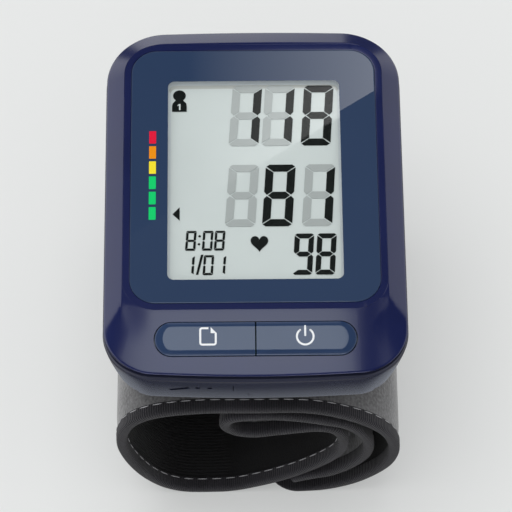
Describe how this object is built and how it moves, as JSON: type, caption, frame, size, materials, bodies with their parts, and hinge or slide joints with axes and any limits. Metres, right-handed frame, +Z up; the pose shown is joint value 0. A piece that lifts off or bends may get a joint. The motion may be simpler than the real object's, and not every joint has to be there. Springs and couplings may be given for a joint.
{
  "type": "wrist blood pressure monitor",
  "caption": "Wrist blood pressure monitor with a large digit display, two press keys, a battery door and a folded fabric cuff.",
  "frame": {"origin": "on the ground, below the middle of the whole object", "axes": "+X to the right of the display, +Y to the display's top edge, +Z up, out of the display"},
  "size_m": [0.068, 0.0896, 0.0647],
  "materials": {
    "casing": "satin navy moulded plastic",
    "keys": "satin slate blue moulded plastic",
    "lens": "polished acrylic, printed navy on its underside round a clear window",
    "lcd_glass": "reflective display glass",
    "white_plastic": "moulded",
    "rubber": "matt",
    "component": "moulded epoxy",
    "steel": "plated",
    "brass": "plain",
    "board": "green solder mask",
    "tube": "clear silicone",
    "cell": "plain wrapped cell",
    "velour": "grey brushed loop fabric",
    "lining": "charcoal ribbed knit",
    "bladder": "welded film",
    "foam": "thin foam",
    "binding": "charcoal ribbed tape",
    "hook_tape": "hook tape"
  },
  "bodies": {
    "housing": {"top_cover": "casing", "bottom_cover": "casing", "cuff_clip_plate": "casing", "display_lens": "lens", "lcd_panel": "lcd_glass", "lcd_backlight": "white_plastic", "lcd_connector": "rubber", "lcd_frame": "white_plastic", "memory_switch": "component", "start_switch": "component", "circuit_board": "board", "main_chip": "component", "buzzer": "component", "pressure_sensor": "component", "air_manifold": "white_plastic", "release_valve": "component", "pump_motor": "steel", "pump_head": "white_plastic", "pump_tube": "tube", "valve_tube": "tube", "cuff_nozzle": "white_plastic", "battery_front": "cell", "battery_back": "cell", "battery_spring_inner": "steel", "battery_contact_front": "brass", "battery_contact_back": "brass", "housing_screw_1": "steel", "housing_screw_2": "steel", "housing_screw_3": "steel", "housing_screw_4": "steel", "cuff_outer_fabric": "velour", "cuff_lining": "lining", "cuff_bladder": "bladder", "cuff_padding": "foam", "cuff_binding_front": "binding", "cuff_binding_back": "binding", "hook_patch": "hook_tape"},
    "memory_key": {"memory_button": "keys"},
    "start_key": {"start_button": "keys"},
    "memory_plunger": {"memory_switch_plunger": "steel"},
    "start_plunger": {"start_switch_plunger": "steel"},
    "crank": {"pump_crank": "brass"},
    "armature": {"valve_plunger": "brass"},
    "door": {"battery_door": "casing", "battery_bridge": "brass", "battery_spring_door": "steel"}
  },
  "joints": [
    {"name": "memory_button_press", "type": "slide", "parent": "housing", "child": "memory_key", "axis": [0, 0.2504, -0.9681], "range_m": [0, 0.0008], "stiffness_N_per_m": 1500},
    {"name": "start_button_press", "type": "slide", "parent": "housing", "child": "start_key", "axis": [0, 0.2504, -0.9681], "range_m": [0, 0.0008], "stiffness_N_per_m": 1500},
    {"name": "memory_plunger_press", "type": "slide", "parent": "housing", "child": "memory_plunger", "axis": [0, 0, -1], "range_m": [0, 0.0005]},
    {"name": "start_plunger_press", "type": "slide", "parent": "housing", "child": "start_plunger", "axis": [0, 0, -1], "range_m": [0, 0.0005]},
    {"name": "pump_crank_spin", "type": "hinge", "parent": "housing", "child": "crank", "pos_m": [0.0225, -0.00405, 0.0518], "axis": [0, 1, 0], "continuous": true},
    {"name": "valve_plunger_slide", "type": "slide", "parent": "housing", "child": "armature", "axis": [1, 0, 0], "range_m": [0, 0.0007], "stiffness_N_per_m": 200},
    {"name": "battery_door_slide", "type": "slide", "parent": "housing", "child": "door", "axis": [-1, 0, 0], "range_m": [0, 0.012]}
  ],
  "couplings": [
    {"joint": "memory_plunger_press", "follows": "memory_button_press", "ratio": 0.62},
    {"joint": "start_plunger_press", "follows": "start_button_press", "ratio": 0.62}
  ]
}
